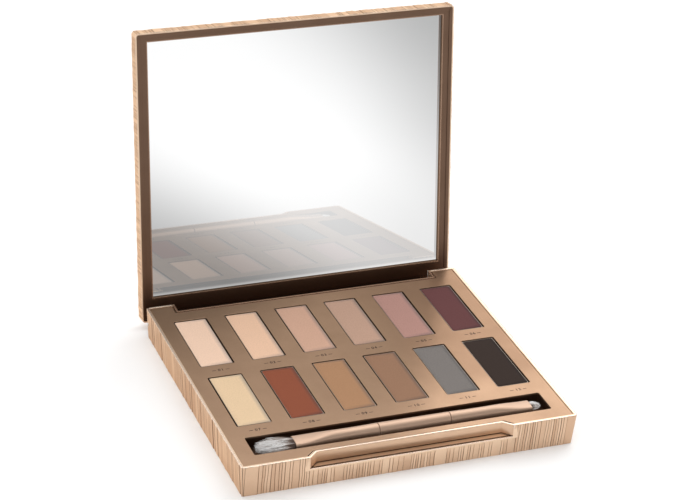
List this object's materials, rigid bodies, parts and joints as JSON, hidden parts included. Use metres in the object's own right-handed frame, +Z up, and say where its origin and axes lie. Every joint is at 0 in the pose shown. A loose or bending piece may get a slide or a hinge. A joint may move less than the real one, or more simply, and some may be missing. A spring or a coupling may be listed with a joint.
{
  "type": "eyeshadow palette",
  "caption": "Flat hinged makeup case with a mirror lid, rows of pressed powders in metal pans, a thumb notch in front and a two-ended brush in a trough.",
  "frame": {"origin": "centre of the base's underside, on the surface that the palette rests on", "axes": "+X to the right across the width, +Y from the front (thumb notch) to the hinge at the back, +Z up; the lid stands open at 98.2 degrees"},
  "size_m": [0.175, 0.1926, 0.1602],
  "materials": {
    "case_metallised": "metallised champagne gold, satin, moulded plank grooves",
    "tray_satin": "metallised champagne gold, fine satin",
    "frame_bronze": "metallised bronze, satin",
    "mirror": "silvered glass",
    "adhesive": "double-sided foam sheet",
    "magnet": "nickel-plated bar magnet",
    "pin_steel": "drawn steel pin",
    "pan_tin": "pressed tinplate",
    "brush_metal": "anodised champagne gold, satin",
    "bristles_fluffy": "soft hair, dark at the root and white at the tip",
    "bristles_short": "short dense hair, white and grey",
    "brush_core": "turned dowel",
    "shade_01": "pressed powder, matte",
    "shade_02": "pressed powder, matte",
    "shade_03": "pressed powder, matte",
    "shade_04": "pressed powder, matte",
    "shade_05": "pressed powder, matte",
    "shade_06": "pressed powder, matte",
    "shade_07": "pressed powder, matte",
    "shade_08": "pressed powder, matte",
    "shade_09": "pressed powder, matte",
    "shade_10": "pressed powder, matte",
    "shade_11": "pressed powder, matte",
    "shade_12": "pressed powder, matte"
  },
  "bodies": {
    "base": {"base_shell": "case_metallised", "inner_tray": "tray_satin", "pan_01": "pan_tin", "pan_02": "pan_tin", "pan_03": "pan_tin", "pan_04": "pan_tin", "pan_05": "pan_tin", "pan_06": "pan_tin", "pan_07": "pan_tin", "pan_08": "pan_tin", "pan_09": "pan_tin", "pan_10": "pan_tin", "pan_11": "pan_tin", "pan_12": "pan_tin", "powder_01": "shade_01", "powder_02": "shade_02", "powder_03": "shade_03", "powder_04": "shade_04", "powder_05": "shade_05", "powder_06": "shade_06", "powder_07": "shade_07", "powder_08": "shade_08", "powder_09": "shade_09", "powder_10": "shade_10", "powder_11": "shade_11", "powder_12": "shade_12", "base_magnet_left": "magnet", "base_magnet_right": "magnet", "hinge_pin_left": "pin_steel", "hinge_pin_right": "pin_steel"},
    "lid": {"lid_shell": "case_metallised", "lid_frame": "frame_bronze", "mirror": "mirror", "mirror_adhesive": "adhesive", "lid_magnet_left": "magnet", "lid_magnet_right": "magnet"},
    "brush": {"brush_sleeve": "brush_metal", "brush_ferrule_fluffy": "brush_metal", "brush_ferrule_short": "brush_metal", "brush_bristles_fluffy": "bristles_fluffy", "brush_bristles_short": "bristles_short", "brush_core": "brush_core"}
  },
  "joints": [
    {"name": "lid_hinge", "type": "hinge", "parent": "base", "child": "lid", "pos_m": [0, 0.076, 0.0085], "axis": [1, 0, 0], "range_deg": [0, 98.2]},
    {"name": "brush_lift", "type": "slide", "parent": "base", "child": "brush", "axis": [0, 0, 1], "range_m": [0, 0.0016]}
  ]
}
